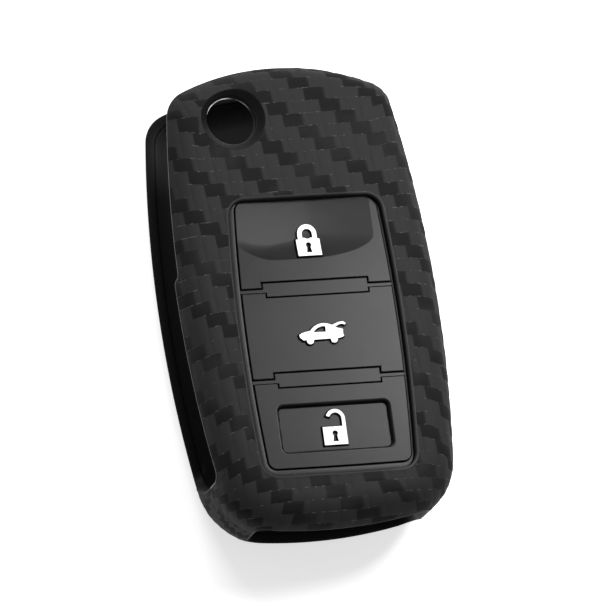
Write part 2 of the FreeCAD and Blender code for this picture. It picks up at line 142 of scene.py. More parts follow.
def panel_arcs(grow, rims=(0.0, 0.0, 0.0, 0.0)):
    """The button panel's outline, grown outwards or, below zero, drawn in, and drawn in again by the rim at
    its right, top, left and bottom."""
    half_length = (PANEL_TOP_Y - PANEL_LOW_Y) / 2
    middle_y = (PANEL_TOP_Y + PANEL_LOW_Y) / 2
    bow = (half_length ** 2 + PANEL_BULGE ** 2) / (2 * PANEL_BULGE)
    moves = [grow - rim for rim in rims]
    middles = [(PANEL_X + PANEL_HALF - bow, middle_y, bow),
               (PANEL_X, PANEL_TOP_Y - PANEL_END_RADIUS, PANEL_END_RADIUS),
               (PANEL_X - PANEL_HALF + bow, middle_y, bow),
               (PANEL_X, PANEL_LOW_Y + PANEL_END_RADIUS, PANEL_END_RADIUS)]
    sides = [(x, y, radius + move) for (x, y, radius), move in zip(middles, moves)]
    return arcs_of(sides, [PANEL_CORNER + np.minimum(moves[i], moves[(i + 1) % 4]) for i in range(4)])


def rounded_in(radius, rise):
    """How far a quarter-round edge stands in at a rise above the face that it ends on."""
    below = np.clip(radius - rise, 0, None)
    return radius - np.sqrt(radius ** 2 - below ** 2)


def front_point(u, z, depth):
    """Point at a height on the front half, at a depth in the wall: upright, then a quarter round."""
    inset = depth + rounded_in(FRONT_ROUND - depth, THICKNESS - depth - z)
    x, y, _ = on_line(u, sleeve_arcs(inset, inset))
    return stacked(x, y, z)


def back_point(u, z, depth):
    """Point at a height on the back half: rounded to the back face, more at the heel than elsewhere."""
    rise = z - depth
    inset, heel = (depth + rounded_in(size - depth, rise) for size in (BACK_ROUND, HEEL_ROUND))
    x, y, _ = on_line(u, sleeve_arcs(inset, heel))
    return stacked(x, y, z)


def grid_faces(rows, columns, closed=False, flip=False):
    """Quads of a grid, facing along row step times column step unless flipped."""
    index = np.arange(rows * columns).reshape(rows, columns)
    if closed:
        index = np.column_stack([index, index[:, :1]])
    quads = np.stack([index[:-1, :-1], index[1:, :-1], index[1:, 1:], index[:-1, 1:]], -1)
    return (quads[..., ::-1] if flip else quads).reshape(-1, 4)


def coons(low, right, top, left, across, up, fade=1.0):
    """Patch between four edges, low and top running left to right and the others upwards: what each edge
    departs from its chord dies out across the patch, for low and top within the share fade of it, and is
    added to the patch through the four corners. Its lines stand at the shares across and up."""
    s, t = across[None, :, None], up[:, None, None]
    flat = (1 - t) * ((1 - s) * low[0] + s * low[-1]) + t * ((1 - s) * top[0] + s * top[-1])
    low_bend, top_bend = (edge - edge[0] - across[:, None] * (edge[-1] - edge[0]) for edge in (low, top))
    left_bend, right_bend = (edge - edge[0] - up[:, None] * (edge[-1] - edge[0]) for edge in (left, right))
    low_share, top_share = np.clip(1 - t / fade, 0, 1), np.clip(1 - (1 - t) / fade, 0, 1)
    return flat + low_share * low_bend[None] + top_share * top_bend[None] \
        + (1 - s) * left_bend[:, None] + s * right_bend[:, None]


def along_length(points):
    """Length along a row of points, from zero."""
    return np.concatenate([[0], np.cumsum(np.linalg.norm(np.diff(points, axis=0), axis=1))])


def turned_path(points, radii, own):
    """Path with square corners turned on quarter rounds, as one place for each column. Away from the path's
    upright stretches a column keeps its own length round, and close to them the columns share them out."""
    turn = np.linspace(0, np.pi / 2, 24)[:, None]
    path = [points[:1]]
    for before, corner, after, radius in zip(points, points[1:], points[2:], radii):
        a, b = ((p - corner) / np.linalg.norm(p - corner) for p in (before, after))
        path.append(corner + radius * (a + b - b * np.cos(turn) - a * np.sin(turn)))
    path = np.concatenate(path + [points[-1:]])
    length = along_length(path)
    uprights = np.unique(points[:, 0])
    knots = np.concatenate([uprights[:1], uprights[:1] + UPRIGHT_SHARE, uprights[1:-1] - STEP_SHARE,
                            uprights[1:-1] + STEP_SHARE, uprights[-1:] - UPRIGHT_SHARE, uprights[-1:]])
    reached = np.interp(knots, path[:, 0], length)
    reached[0], reached[-1] = 0, length[-1]
    along = np.interp(own, knots, reached)
    return np.stack([np.interp(along, length, path[:, i]) for i in range(2)], -1)


def place_on(first_arc, last_arc, axis, value):
    """Where on the sleeve's outline, between two arcs, x or y takes a value."""
    u = np.linspace(first_arc, last_arc, 2001)
    coordinate = on_line(u, sleeve_arcs(0.0, 0.0))[axis]
    order = np.argsort(coordinate)
    return np.interp(value, coordinate[order], u[order])


# Columns round the sleeve, with one moved to each end of the two openings
columns = np.concatenate([i + np.arange(cells) / cells for i, cells in enumerate(ARC_CELLS)])
fine_u = np.linspace(0, 8, 8001)
fine_length = along_length(line_points(fine_u, sleeve_arcs(0.0, 0.0)))
mouth = [place_on(2, 3, 0, MOUTH_TOP_X), place_on(4, 6, 1, MOUTH_LOW_Y)]
slot = [place_on(5, 8, 0, SLOT_LEFT_X), place_on(5, 8, 0, SLOT_RIGHT_X)]
mouth_step = place_on(4, 5, 1, MOUTH_STEP_Y)
opening_ends = [[int(np.argmin(abs(columns - end))) for end in ends] for ends in (mouth, slot)]
for ends, places in zip(opening_ends, (mouth, slot)):
    columns[ends] = places

# Where each column starts at the window: round the release hole all fan out from the window's upper edge
window_columns = np.interp(columns, *WINDOW_FAN)


def rim_of(mouth_points, mouth_radii, slot_points, slot_radii, side):
    """Edge of one half at every column, as (length round, height), and the way from it into the wall.
    It follows the seam, and within the mouth and the slot their own turned paths."""
    rim = np.stack([np.interp(columns, fine_u, fine_length), np.full(len(columns), SEAM_Z)], -1)
    into = np.zeros_like(rim)
    paths = ((mouth_points, mouth_radii), (slot_points, slot_radii))
    for (first, last), (points, radii) in zip(opening_ends, paths):
        lengths = np.interp([u for u, _ in points], fine_u, fine_length)
        path = turned_path(np.stack([lengths, [z for _, z in points]], -1), radii, rim[first:last + 1, 0])
        step = np.gradient(path, axis=0)
        step /= np.linalg.norm(step, axis=1, keepdims=True)
        rim[first:last + 1] = path
        into[first:last + 1] = side * np.stack([-step[:, 1], step[:, 0]], -1)
    return rim, into


def square_end(first, last, z):
    """Path of an opening's edge: from the seam to a height, along it and back."""
    return [(first, SEAM_Z), (first, z), (last, z), (last, SEAM_Z)]


front_mouth = [(mouth[0], SEAM_Z), (mouth[0], HIGH_LIP_Z), (mouth_step, HIGH_LIP_Z), (mouth_step, LIP_Z),
               (mouth[1], LIP_Z), (mouth[1], SEAM_Z)]
front_rim, front_into = rim_of(front_mouth, [MOUTH_CORNER, STEP_CORNER, STEP_CORNER, MOUTH_CORNER],
                               square_end(*slot, LIP_Z), [SLOT_CORNER] * 2, 1)
back_rim, back_into = rim_of(square_end(*mouth, MOUTH_FLOOR_Z), [MOUTH_CORNER] * 2,
                             square_end(*slot, SLOT_FLOOR_Z), [SLOT_CORNER] * 2, -1)


def rim_place(rim, into, away):
    """The rim's columns and heights, moved into the wall by the lip's rounding."""
    place = rim + away * into
    return np.interp(place[:, 0], fine_length, fine_u), place[:, 1]


def laid_flat(u, inset, heel, run):
    """Places on the surface laid flat: outwards by the run from the outline that the flat face ends on."""
    x, y, turn = on_line(u, sleeve_arcs(inset, heel))
    return stacked(x + run * np.cos(turn), y + run * np.sin(turn))


def front_half(depth, window_grow, ring_rows, flank_rows):
    """Front of the sleeve at a depth in its wall: straight lines from the window to the edge of the flat,
    then down the quarter round and the side, each column sliding to its place on the rim."""
    flat_z = THICKNESS - depth
    radius = FRONT_ROUND - depth
    window = line_points(window_columns, panel_arcs(window_grow))
    edge = line_points(columns, sleeve_arcs(FRONT_ROUND, FRONT_ROUND))
    share = np.linspace(0, 1, ring_rows + 1)[:, None, None]
    ring = window + (edge - window) * share
    ring = stacked(ring[..., 0], ring[..., 1], flat_z)
    rim_u, rim_z = rim_place(front_rim, front_into, LIP_ROUND)
    quarter = radius * np.pi / 2
    turned = np.arccos(np.clip((rim_z - flat_z + radius) / radius, 0, 1))
    reach = np.where(turned < np.pi / 2, radius * turned, quarter + flat_z - radius - rim_z)
    run = reach * np.linspace(0, 1, flank_rows + 1)[1:, None]
    slide = np.clip(run / np.minimum(reach, FRONT_SLIDE_RUN), 0, 1)
    u = columns + (rim_u - columns) * slide ** 2
    rounded = radius * np.cos(np.minimum(run / radius, np.pi / 2))
    z = flat_z - radius + rounded - np.clip(run - quarter, 0, None)
    points = np.concatenate([ring, front_point(u, z, depth)])
    return points, np.concatenate([ring[..., :2], laid_flat(u, FRONT_ROUND, FRONT_ROUND, run)])


def back_half(depth, rows):
    """Back of the sleeve at a depth: from the rim down the side and the round to the back face."""
    rim_u, rim_z = rim_place(back_rim, back_into, LIP_ROUND)
    t = np.linspace(1, 0, rows + 1)[:, None]
    z = depth + (rim_z - depth) * (1 - np.cos(t * np.pi / 2))
    slide = np.clip((z - depth) / (np.minimum(rim_z, BACK_SLIDE_Z) - depth), 0, 1)
    u = columns + (rim_u - columns) * slide ** 2
    points = back_point(u, z, depth)
    steps = np.linalg.norm(np.diff(points, axis=0), axis=-1)[::-1]
    run = np.concatenate([np.zeros((1, len(columns))), np.cumsum(steps, axis=0)])[::-1]
    return points, laid_flat(u, BACK_ROUND, HEEL_ROUND, run)


def back_floor(edge):
    """Flat back face between the last row of the back half, cut at the middles of the corners."""
    half_corner = ARC_CELLS[1] // 2
    loop = np.roll(edge, half_corner, axis=0)
    sides = np.cumsum([0] + [ARC_CELLS[2 * i] + 2 * half_corner for i in range(4)])
    right, top, left, low = (np.take(loop, range(a, b + 1), axis=0, mode="wrap")
                             for a, b in zip(sides, sides[1:]))
    across, up = (np.linspace(0, 1, len(side)) for side in (low, left))
    return coons(low, right, top[::-1], left[::-1], across, up)


def lips(rim, into, point_at, first, last):
    """Strip through the wall along an opening, from the outside in, with both edges rounded."""
    turn = np.linspace(0, np.pi / 2, 5)
    away = LIP_ROUND * np.concatenate([1 - np.sin(turn), 1 - np.cos(turn)])
    depth = np.concatenate([LIP_ROUND * (1 - np.cos(turn)), WALL - LIP_ROUND * (1 - np.sin(turn))])
    place = rim[None, first:last + 1] + away[:, None, None] * into[None, first:last + 1]
    u = np.interp(place[..., 0], fine_length, fine_u)
    return np.concatenate([point_at(u[i:i + 1], place[i:i + 1, :, 1], d) for i, d in enumerate(depth)])


def front_height(x, y, depth):
    """Height of the front at a place seen from above: the inset whose outline passes there is halved
    down to, a place being inside if it is inside the four sides and the corner it stands in."""
    low, high = np.full(x.shape, depth), np.full(x.shape, FRONT_ROUND)
    for _ in range(30):
        middle = (low + high) / 2
        outside = np.full(x.shape, -np.inf)
        for i, (cx, cy, radius, start, end) in enumerate(sleeve_arcs(middle, middle)):
            turn = (np.arctan2(y - cy, x - cx) - start) % (2 * np.pi)
            counts = (turn < end - start) if i % 2 else True
            outside = np.where(counts, np.maximum(outside, np.hypot(x - cx, y - cy) - radius), outside)
        low, high = np.where(outside < 0, middle, low), np.where(outside < 0, high, middle)
    radius = FRONT_ROUND - depth
    return THICKNESS - FRONT_ROUND + np.sqrt(np.clip(radius ** 2 - (FRONT_ROUND - low) ** 2, 0, None))


def hole_patch(points, unrolled, radius_at, depth, rows, clear):
    """Clears the cells round the release hole and closes the gap with rings from their border to the hole.
    Returns the kept faces, the rings' points and unrolled places, and their columns' angles."""
    away = np.hypot(points[..., 0] - HOLE_X, points[..., 1] - HOLE_Y)
    near = np.argwhere((away < clear) & (points[..., 2] > THICKNESS / 2))
    (r0, c0), (r1, c1) = near.min(0) - 1, near.max(0) + 1
    faces = grid_faces(*points.shape[:2], closed=True).reshape(points.shape[0] - 1, -1, 4)
    keep = np.ones(faces.shape[:2], bool)
    keep[r0:r1, c0:c1] = False
    border = np.concatenate([stacked(r1, np.arange(c0, c1)), stacked(np.arange(r1, r0, -1), c1),
                             stacked(r0, np.arange(c1, c0, -1)), stacked(np.arange(r0, r1), c0)])
    loop = points[border[:, 0], border[:, 1]]
    seen = np.maximum.accumulate(np.unwrap(np.arctan2(loop[:, 1] - HOLE_Y, loop[:, 0] - HOLE_X)))
    even = np.arange(len(loop)) * 2 * np.pi / len(loop)
    turn = (1 - HOLE_EVENNESS) * seen + HOLE_EVENNESS * (even + np.mean(seen - even))
    radius = radius_at(turn)
    rim = np.stack([HOLE_X + radius * np.cos(turn), HOLE_Y + radius * np.sin(turn)], -1)
    share = np.linspace(0, 1, rows + 1)[:, None, None]
    flat = loop[None, :, :2] + (rim - loop[:, :2]) * share
    rings = np.concatenate([flat, front_height(flat[..., 0], flat[..., 1], depth)[..., None]], -1)
    rings[0] = loop
    places = unrolled[border[:, 0], border[:, 1]] + (flat - loop[None, :, :2])
    return faces[keep].reshape(-1, 4), rings, places, turn


def flare_radius(turn):
    """Radius at which the hole's cone meets the front, found by going back and forth between the two."""
    radius = np.full(turn.shape, HOLE_RADIUS + HOLE_FLARE)
    for _ in range(20):
        z = front_height(HOLE_X + radius * np.cos(turn), HOLE_Y + radius * np.sin(turn), 0.0)
        radius = HOLE_RADIUS + HOLE_FLARE * (z - HOLE_FLARE_Z)
    return radius


def ring_rows(turn, radii, heights):
    """Rings about the hole's axis, one row for each pair of radius and height."""
    return np.stack([stacked(HOLE_X + radius * np.cos(turn), HOLE_Y + radius * np.sin(turn), z)
                     for radius, z in zip(radii, heights)])


# Twill: two threads over and two under, with the threads running a little askew as they are on the moulding
TWILL_ORIGIN = np.array([0.985, 24.57])
WEFT_STEP = np.array([1.975, 0.05])
WARP_STEP = np.array([0.165, -1.91])
TWILL_DEPTH = 0.09
TWILL_FADE = 0.5


def twill_cells(place):
    """Place on the unrolled surface counted in threads: across the warp, and down the weft."""
    return (place - TWILL_ORIGIN) @ np.linalg.inv(np.stack([WEFT_STEP, WARP_STEP]))


def twill_height(cells):
    """Height of the twill from 0 to 1: each thread is crowned across and dips where it goes under."""
    across, down = cells[..., 0], cells[..., 1]
    weft_run = np.mod(across - np.floor(down), 4) / 2
    warp_run = np.mod(down - np.floor(across) - 1, 4) / 2
    weft = 1 - (2 * np.mod(down, 1) - 1) ** 4
    warp = 1 - (2 * np.mod(across, 1) - 1) ** 4
    over = np.where(weft_run < 1, weft_run, np.clip(warp_run, 0, 1))
    return np.where(weft_run < 1, weft, warp) * np.sqrt(np.clip(np.sin(np.pi * over), 0, 1))


# The sleeve's finishes, in the order of its materials
TWILL, INSIDE, LIP, BORE, FLASH, WINDOW = range(6)
patches = []


def add_patch(points, faces=None, finish=INSIDE, closed=True, flip=False, cells=None, fade=None):
    """Keeps one surface of the sleeve: its points, its faces, which are its grid's if none are given, its
    finish and, where the twill runs, its thread counts and how strongly it is pressed."""
    if faces is None:
        faces = grid_faces(*points.shape[:2], closed, flip)
    count = points.size // 3
    cells = np.zeros((count, 2)) if cells is None else cells.reshape(-1, 2)
    fade = np.zeros(count) if fade is None else fade.reshape(-1)
    patches.append((points.reshape(-1, 3), faces, cells, fade, np.full(len(faces), finish)))


def pressed(distance):
    """Strength of the twill at a distance from an edge."""
    return np.clip(distance / TWILL_FADE, 0, 1)


front, front_places = front_half(0.0, WINDOW_EDGE, RING_ROWS, FLANK_ROWS)
front_faces, hole_rings, hole_places, hole_turn = hole_patch(
    front, front_places, flare_radius, 0.0, HOLE_RINGS, HOLE_RADIUS + HOLE_FLARE + HOLE_CLEARING)
from_window = np.linalg.norm(front - front[0], axis=-1)
from_rim = np.linalg.norm(front - front[-1], axis=-1)
add_patch(front, front_faces, TWILL, cells=twill_cells(front_places),
          fade=pressed(np.minimum(from_window, from_rim)))
from_hole = np.linalg.norm(hole_rings - hole_rings[-1], axis=-1)
add_patch(hole_rings, None, TWILL, flip=True, cells=twill_cells(hole_places), fade=pressed(from_hole))

inside, inside_places = front_half(WALL, 0.0, INNER_RING_ROWS, INNER_ROWS)
inside_faces, under_rings, _, under_turn = hole_patch(
    inside, inside_places, lambda turn: np.full(turn.shape, HOLE_RADIUS), WALL, UNDER_RINGS,
    HOLE_RADIUS + UNDER_CLEARING)
add_patch(inside, inside_faces[:, ::-1])
add_patch(under_rings)


def stitch(upper, lower):
    """Triangles between two rings of points given by their angles: every edge of one ring takes the point
    of the other that has been reached when the edges of both are gone through in order of angle."""
    rings = []
    for turn in (upper, lower):
        angle = turn % (2 * np.pi)
        order = np.argsort(angle)
        angle = angle[order]
        middle = (angle + np.append(angle[1:], angle[0] + 2 * np.pi)) / 2
        rings.append((order, middle))
    (a, a_mid), (b, b_mid) = rings
    b = b + len(upper)
    to_b = b[np.searchsorted(b_mid, a_mid) % len(b)]
    to_a = a[np.searchsorted(a_mid, b_mid) % len(a)]
    downward, upward = np.stack([a, np.roll(a, -1), to_b], -1), np.stack([np.roll(b, -1), b, to_a], -1)
    return np.concatenate([downward, upward])


flare_share = np.linspace(1, 0, 7)[:, None]
flare_radii = HOLE_RADIUS + (flare_radius(hole_turn) - HOLE_RADIUS) * flare_share
flare_heights = HOLE_FLARE_Z + (hole_rings[-1, :, 2] - HOLE_FLARE_Z) * flare_share
flare_rows = ring_rows(hole_turn, [*flare_radii, HOLE_RADIUS], [*flare_heights, BORE_JOIN_Z])
add_patch(flare_rows, None, BORE, flip=True)
add_patch(np.concatenate([flare_rows[-1], under_rings[-1]]), stitch(hole_turn, under_turn))

# A collar goes on down from the bore: a closed ring whose top is buried in the wall, with a thin flash that
# stands in from its lower edge
collar_turn = np.linspace(0, 2 * np.pi, 97)[:-1]
collar_bore = HOLE_RADIUS - COLLAR_FIT
outer_top = front_height(HOLE_X + COLLAR_RADIUS * np.cos(collar_turn),
                         HOLE_Y + COLLAR_RADIUS * np.sin(collar_turn), WALL / 2)
inner = collar_bore - FLASH_WIDTH
collar_edge = ring_rows(collar_turn, [collar_bore, inner, inner, collar_bore],
                        COLLAR_BASE_Z + FLASH_DEPTH * np.array([1, 1, 0, 0]))
collar = ring_rows(collar_turn, [collar_bore, COLLAR_RADIUS, COLLAR_RADIUS, collar_bore, collar_bore],
                   [COLLAR_BASE_Z, COLLAR_BASE_Z, np.minimum(outer_top, BORE_JOIN_Z), BORE_JOIN_Z,
                    COLLAR_BASE_Z + FLASH_DEPTH])
# The flash carries a painted highlight at its upper left.
add_patch(collar_edge, None, FLASH, flip=True)
add_patch(collar, None, BORE, flip=True)

fillet = np.linspace(0, np.pi / 2, 6)[:, None]
window_grow = np.concatenate([WINDOW_EDGE * (1 - np.sin(fillet)), np.zeros((1, 1))])
window_z = np.concatenate([THICKNESS - WINDOW_EDGE * (1 - np.cos(fillet)), [[THICKNESS - WALL]]])
window_x, window_y, _ = on_line(window_columns, panel_arcs(window_grow))
add_patch(stacked(window_x, window_y, window_z), None, WINDOW, flip=True)

back, back_places = back_half(0.0, BACK_ROWS)
add_patch(back, None, TWILL, cells=twill_cells(back_places),
          fade=pressed(np.linalg.norm(back - back[0], axis=-1)))
floor_outside = back_floor(back[-1])
add_patch(floor_outside, None, TWILL, closed=False, cells=twill_cells(floor_outside[..., :2]),
          fade=np.ones(floor_outside.shape[:2]))
back_inside, _ = back_half(WALL, INNER_ROWS)
add_patch(back_inside, flip=True)
add_patch(back_floor(back_inside[-1]), closed=False, flip=True)
for ends, (front_finish, back_finish) in zip(opening_ends, ((LIP, BORE), (WINDOW, WINDOW))):
    add_patch(lips(front_rim, front_into, front_point, *ends), None, front_finish, closed=False)
    add_patch(lips(back_rim, back_into, back_point, *ends), None, back_finish, closed=False, flip=True)


def corner_normals(points, faces):
    """Unit normals at the points, from the crossed diagonals of the quads round each."""
    normals = np.zeros_like(points)
    a, b, c, d = (points[faces[:, i]] for i in range(4))
    np.add.at(normals, faces, np.cross(c - a, d - b)[:, None])
    return normals / np.clip(np.linalg.norm(normals, axis=1, keepdims=True), 1e-9, None)


def merge(mesh, flat=0.0):
    """Merges a mesh's doubles and, if an angle is given, the faces that meet at less than it."""
    work = bmesh.new()
    work.from_mesh(mesh)
    bmesh.ops.remove_doubles(work, verts=work.verts, dist=MERGE_DISTANCE * MM)
    if flat:
        bmesh.ops.dissolve_limit(work, angle_limit=flat, verts=work.verts, edges=work.edges)
    work.to_mesh(mesh)
    work.free()


def put(name, data):
    """New object in the scene, at the origin."""
    piece = bpy.data.objects.new(name, data)
    bpy.context.scene.collection.objects.link(piece)
    return piece


def put_mesh(name, points, faces, smooth, finishes, face_finish=None, cells=None):
    """Mesh object from millimetre points and lists of faces, with doubles merged. The thread counts become
    the UV map that the twill is drawn by."""
    mesh = bpy.data.meshes.new(name)
    mesh.from_pydata(points * MM, [], faces)
    if cells is not None:
        layer = mesh.uv_layers.new(name="weave")
        layer.data.foreach_set("uv", cells[np.concatenate(faces)].ravel())
    for finish in finishes:
        mesh.materials.append(finish)
    if face_finish is not None:
        mesh.polygons.foreach_set("material_index", face_finish)
    mesh.polygons.foreach_set("use_smooth", np.broadcast_to(smooth, len(mesh.polygons)).copy())
    merge(mesh)
    return put(name, mesh)


class Socket:
    """One output in a material. Sums and products with it add a Math node."""

    def __init__(self, finish, link):
        self.finish, self.link = finish, link

    def maths(self, operation, *others):
        return self.finish.node("Math", dict(enumerate((self,) + others)), operation=operation)

    def __add__(self, other):
        return self.maths("ADD", other)

    def __sub__(self, other):
        return self.maths("SUBTRACT", other)

    def __rsub__(self, other):
        return self.finish.node("Math", {0: other, 1: self}, operation="SUBTRACT")

    def __mul__(self, other):
        return self.maths("MULTIPLY", other)

    def __mod__(self, other):
        return self.maths("FLOORED_MODULO", other)

    __radd__, __rmul__ = __add__, __mul__

    def rise(self, low, high):
        """0 below low, 1 above high and smooth between, or falling where low is above high."""
        return self.finish.node("MapRange", {"Value": self, "From Min": low, "From Max": high},
                                interpolation_type="SMOOTHSTEP")


class Finish:
    """A material under construction."""

    def __init__(self, name):
        self.material = bpy.data.materials.new(name)
        self.material.use_nodes = True
        self.tree = self.material.node_tree
        self.tree.nodes.clear()

    def node(self, kind, sockets=None, output=0, **settings):
        """Adds any node: first its settings, then its sockets' values or links. Returns an output."""
        node = self.tree.nodes.new("ShaderNode" + kind)
        for name, value in settings.items():
            setattr(node, name, value)
        for name, value in (sockets or {}).items():
            if isinstance(value, Socket):
                self.tree.links.new(value.link, node.inputs[name])
            else:
                node.inputs[name].default_value = value
        return Socket(self, node.outputs[output]) if node.outputs else None

    def place(self, axis):
        """One coordinate of the place on the object, in metres."""
        return self.node("SeparateXYZ", {0: self.node("TexCoord", output=3)}, axis)

    def noise(self, scale, detail):
        """Noise by the place on the object."""
        spot = self.node("TexCoord", output=3)
        return self.node("TexNoise", {"Vector": spot, "Scale": scale, "Detail": detail})

    def coloured(self, share, first, second):
        """Mix of two colours by a share."""
        return self.node("Mix", {0: share, 6: first, 7: second}, 2, data_type="RGBA")

    def bump(self, strength, distance, height):
        """Normal roughened by a height."""
        return self.node("Bump", {"Strength": strength, "Distance": distance, "Height": height})

    def surface(self, **sockets):
        """Ends the material in one Principled shader, sockets named with _ for a space."""
        names = {name.replace("_", " "): value for name, value in sockets.items()}
        self.node("OutputMaterial", {"Surface": self.node("BsdfPrincipled", names)})
        return self.material


def grey(value, tint=1.03):
    """A near-neutral colour, very slightly cool."""
    return (value, value, value * tint, 1.0)


def twill_silicone():
    """Matt black silicone with the twill, its sheen painted into the colour: weft floats are painted darker
    for most of their length, warp floats lighter and parted by thin lines of painted shade, and painted
    highlights mark the ends of the rows here and there."""
    finish = Finish("twill_silicone")
    cells = finish.node("UVMap", uv_map="weave")
    across, down = (finish.node("SeparateXYZ", {0: cells}, axis) for axis in range(2))
    row, column = down.maths("FLOOR"), across.maths("FLOOR")
    run = (across - row) % 4
    weft = run.rise(0.0, 0.08) * run.rise(1.75, 1.35)
    row_edge = (down - row - 0.5).maths("ABSOLUTE")
    column_edge = (across - column - 0.5).maths("ABSOLUTE")
    sheen_patches, blotch = finish.noise(150.0, 1.0), finish.noise(420.0, 3.0)
    fleck, grain = finish.noise(1500.0, 2.0), finish.noise(9000.0, 2.0)
    # Painted highlights on the ends of the rows, and painted shade in the thin partings between warp
    # floats.
    dash = row_edge.rise(0.455, 0.48) * fleck.rise(0.52, 0.66)
    parting = column_edge.rise(0.43, 0.49) * (1 - weft)
    # Painted sheen: the weft is painted darker than the warp, by more in some patches than others, plus
    # random blotches of tone.
    shade = weft * (sheen_patches.rise(0.3, 0.7) * 0.6 + 0.55) + parting * 0.25 + (blotch - 0.5) * 0.5
    colour = finish.coloured(shade.rise(0.0, 1.0), grey(0.0198), grey(0.0078))
    colour = finish.coloured(dash * 0.45, colour, grey(0.11))
    weft_crown = 1 - (row_edge * 2).maths("POWER", 6.0)
    warp_crown = 1 - (column_edge * 2).maths("POWER", 6.0)
    height = weft * weft_crown * 0.8 + (1 - weft) * (warp_crown * 0.5 + 0.5) + grain * 0.12
    return finish.surface(Base_Color=colour, Roughness=0.66 + weft * 0.1 + (grain - 0.5) * 0.12,
                          Specular_IOR_Level=0.08, Normal=finish.bump(0.35, 0.00008, height))


def plain_silicone(name, dark, light, roughness, specular, tone=None):
    """Smooth silicone with a very fine grain, between two greys that are mixed by the grain, or by the
    share that tone(finish, grain) gives."""
    finish = Finish(name)
    grain = finish.noise(6000.0, 3.0)
    share = tone(finish, grain) if tone else grain.rise(0.3, 0.7)
    return finish.surface(Base_Color=finish.coloured(share, grey(dark), grey(light)),
                          Roughness=roughness + (grain - 0.5) * 0.15, Specular_IOR_Level=specular,
                          Normal=finish.bump(0.2, 0.00003, grain))


def painted_shade_by_height(finish, grain):
    """Painted shade inside the pocket: dark on its floor, and painted greyer up the walls by height."""
    return finish.place(2).rise(0.001, 0.006)


def painted_light_right(finish, grain):
    """Painted light round the window: black, and painted greyer along the right side, where the wall stands
    in shade.
    """
    right = finish.place(0).rise(0.006, 0.010) * finish.place(1).rise(-0.030, -0.026)
    return right * (grain * 0.2 + 0.9)


def flash_painted_highlight():
    """Thin flash left on the collar's end by the mould, roughened, with a painted highlight in pale grey
    patches at its upper left.
    """
    finish = Finish("flash_painted_highlight")
    across, along = finish.place(0) - HOLE_X * MM, finish.place(1) - HOLE_Y * MM
    patch = finish.noise(330.0, 2.0)
    highlight_share = patch.rise(0.35, 0.6) * (along - across * 0.5).rise(-0.0003, 0.0014)
    colour = finish.coloured(highlight_share, grey(0.02), grey(0.75))
    return finish.surface(Base_Color=colour, Roughness=0.5 + (patch - 0.5) * 0.2)


starts = np.cumsum([0] + [len(patch[0]) for patch in patches])
sleeve_points = np.concatenate([patch[0] for patch in patches])
sleeve_faces = [patch[1] + start for patch, start in zip(patches, starts)]
sleeve_cells = np.concatenate([patch[2] for patch in patches])
_, lone, shared = np.unique(np.round(sleeve_points, 4), axis=0, return_index=True, return_inverse=True)
shared = shared.ravel()
quads = np.concatenate([faces for faces in sleeve_faces if faces.shape[1] == 4])
normals = corner_normals(sleeve_points[lone], shared[quads])
press = np.concatenate([patch[3] for patch in patches])[lone]
relief = TWILL_DEPTH * press * (twill_height(sleeve_cells[lone]) - 1)
moved = sleeve_points[lone] + normals * relief[:, None]
black_silicone = [twill_silicone(),
                  # Inside: painted shade on the floor of the pocket, painted lighter up the walls.
                  plain_silicone("inside_silicone", 0.012, 0.055, 0.6, 0.12, painted_shade_by_height),
                  plain_silicone("lip_silicone", 0.007, 0.011, 0.32, 0.6),
                  # The bore finish is the same silicone painted darker: painted shade on the hole's flare
                  # and collar and on the mouth's back lip.
                  plain_silicone("shaded_bore_silicone", 0.004, 0.007, 0.5, 0.08),
                  # The flash's finish: a painted highlight at the collar's upper left.
                  flash_painted_highlight(),
                  # Window wall: painted light along its right side.
                  plain_silicone("window_silicone", 0.015, 0.032, 0.5, 0.15, painted_light_right)]
sleeve = put_mesh("moulded_sleeve", moved[shared],
                  [face for faces in sleeve_faces for face in faces.tolist()], True, black_silicone,
                  np.concatenate([patch[4] for patch in patches]), sleeve_cells)
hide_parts("sleeve")
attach(sleeve, "sleeve")

# Keypad frame: a rim at the left, bottom and right with two cross-bars, moulded of smooth dark grey
# silicone. A flange behind the sleeve's front holds it in the window, sunk below the twill. Its edges are
# slightly rounded.
FRAME_TOP_Z, FRAME_BASE_Z = 16.9, 15.8
FRAME_FIT, FLANGE_WIDTH, FRAME_EDGE, LEAST_RIM = 0.06, 1.2, 0.12, 0.1
STEP_GAP, STEP_LEAN, SHARP_EDGE, EDGE_FADE = 4e-4, 0.4, 0.03, 0.25
KEY_RIMS = (0.5, 0.0, 1.0, 1.0)
BAR_X, BAR_HALF, BAR_RISE, BAR_FOOT_INSET = 0.2, 7.8, 1.05, 0.4
ARM_RISE, ARM_DROP, ARM_TUCK, BAR_EDGE = 0.3, 0.15, 0.12, 0.1
BAR_YS = [0.55, -12.95]
BAR_CELLS = (120, 6)
BAR_SINK, BAR_CLEAR, RIM_FADE = 0.01, 1.3, 2.5
FRAME_CELLS = [90, 24, 50, 24, 90, 24, 50, 24]


def satin_silicone():
    """Smooth dark grey silicone with a soft sheen, a faint cloudiness and a very fine grain."""
    finish = Finish("satin_silicone")
    grain, cloud = finish.noise(5000.0, 3.0), finish.noise(160.0, 2.0)
    colour = finish.coloured(cloud.rise(0.3, 0.7), grey(0.005, 1.08), grey(0.008, 1.08))
    return finish.surface(Base_Color=colour, Roughness=0.36 + (grain - 0.5) * 0.08,
                          Specular_IOR_Level=0.16, Normal=finish.bump(0.12, 0.00002, grain))


def gridded(points, closed=True, flip=False, smooth=True):
    """One surface of a mesh: a grid's points, its faces and whether they are shaded smooth."""
    return points, grid_faces(*points.shape[:2], closed, flip), smooth


